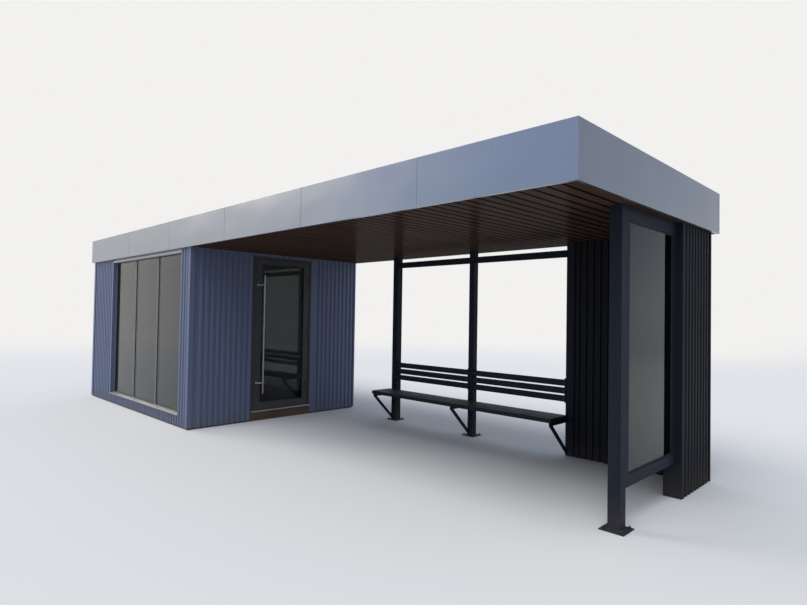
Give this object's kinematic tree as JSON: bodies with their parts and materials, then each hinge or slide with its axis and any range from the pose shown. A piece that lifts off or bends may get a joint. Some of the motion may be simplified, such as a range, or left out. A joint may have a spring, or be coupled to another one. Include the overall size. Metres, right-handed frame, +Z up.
{
  "type": "bus shelter",
  "caption": "Free-standing bus shelter: long flat roof with a deep fascia over a glazed kiosk with an outward-opening door and an open waiting area with a slatted bench.",
  "frame": {"origin": "on the ground under the middle of the roof", "axes": "+X along the roof, from the kiosk to the waiting area; +Y to the back; +Z up"},
  "size_m": [9.5, 2.9, 2.795],
  "materials": {
    "kiosk_cladding": "satin",
    "dark_cladding": "satin",
    "fascia": "satin anodised",
    "post_steel": "satin powder coat",
    "bench": "satin",
    "wall_panel": "matt",
    "dark_panel": "matt",
    "floor": "matt",
    "window_frame": "satin",
    "window_glass": "clear, slightly dark",
    "side_glass": "clear, slightly dark",
    "light_flashing": "satin",
    "door_metal": "satin",
    "threshold": "satin",
    "stainless": "brushed",
    "roof_membrane": "matt",
    "ceiling_boards": "semi-gloss",
    "kiosk_ceiling": "matt"
  },
  "bodies": {
    "shelter": {"kiosk_floor": "floor", "front_wall_left": "wall_panel", "front_wall_right": "wall_panel", "front_wall_below_window": "wall_panel", "front_wall_above_window": "wall_panel", "left_wall": "wall_panel", "rear_wall": "wall_panel", "door_wall_front": "wall_panel", "door_wall_rear": "wall_panel", "door_wall_above_door": "wall_panel", "front_cladding": "kiosk_cladding", "door_side_cladding": "kiosk_cladding", "left_cladding": "kiosk_cladding", "rear_cladding": "kiosk_cladding", "corner_flashings": "kiosk_cladding", "window_frame": "window_frame", "window_glass": "window_glass", "window_flashings": "light_flashing", "door_frame": "door_metal", "door_threshold": "threshold", "hinge_sockets": "door_metal", "roof_frame": "post_steel", "roof_deck": "roof_membrane", "ceiling_boards": "ceiling_boards", "kiosk_ceiling": "kiosk_ceiling", "fascia_front": "fascia", "fascia_rear": "fascia", "fascia_left": "fascia", "fascia_right": "fascia", "post_front": "post_steel", "post_rear_left": "post_steel", "post_rear_middle": "post_steel", "post_rear_right": "post_steel", "rear_rails": "post_steel", "bench_seat": "bench", "bench_back": "bench", "side_frame": "post_steel", "side_glass": "side_glass", "screen_wall": "dark_panel", "pier": "dark_panel", "corner_wall_cladding": "dark_cladding"},
    "door": {"door_leaf": "door_metal", "door_glass": "window_glass", "door_handle": "stainless", "hinge_knuckles": "door_metal"}
  },
  "joints": [
    {"name": "door", "type": "hinge", "parent": "shelter", "child": "door", "pos_m": [-0.702, 0.479, 0], "axis": [0, 0, 1], "range_deg": [0, 90]}
  ]
}
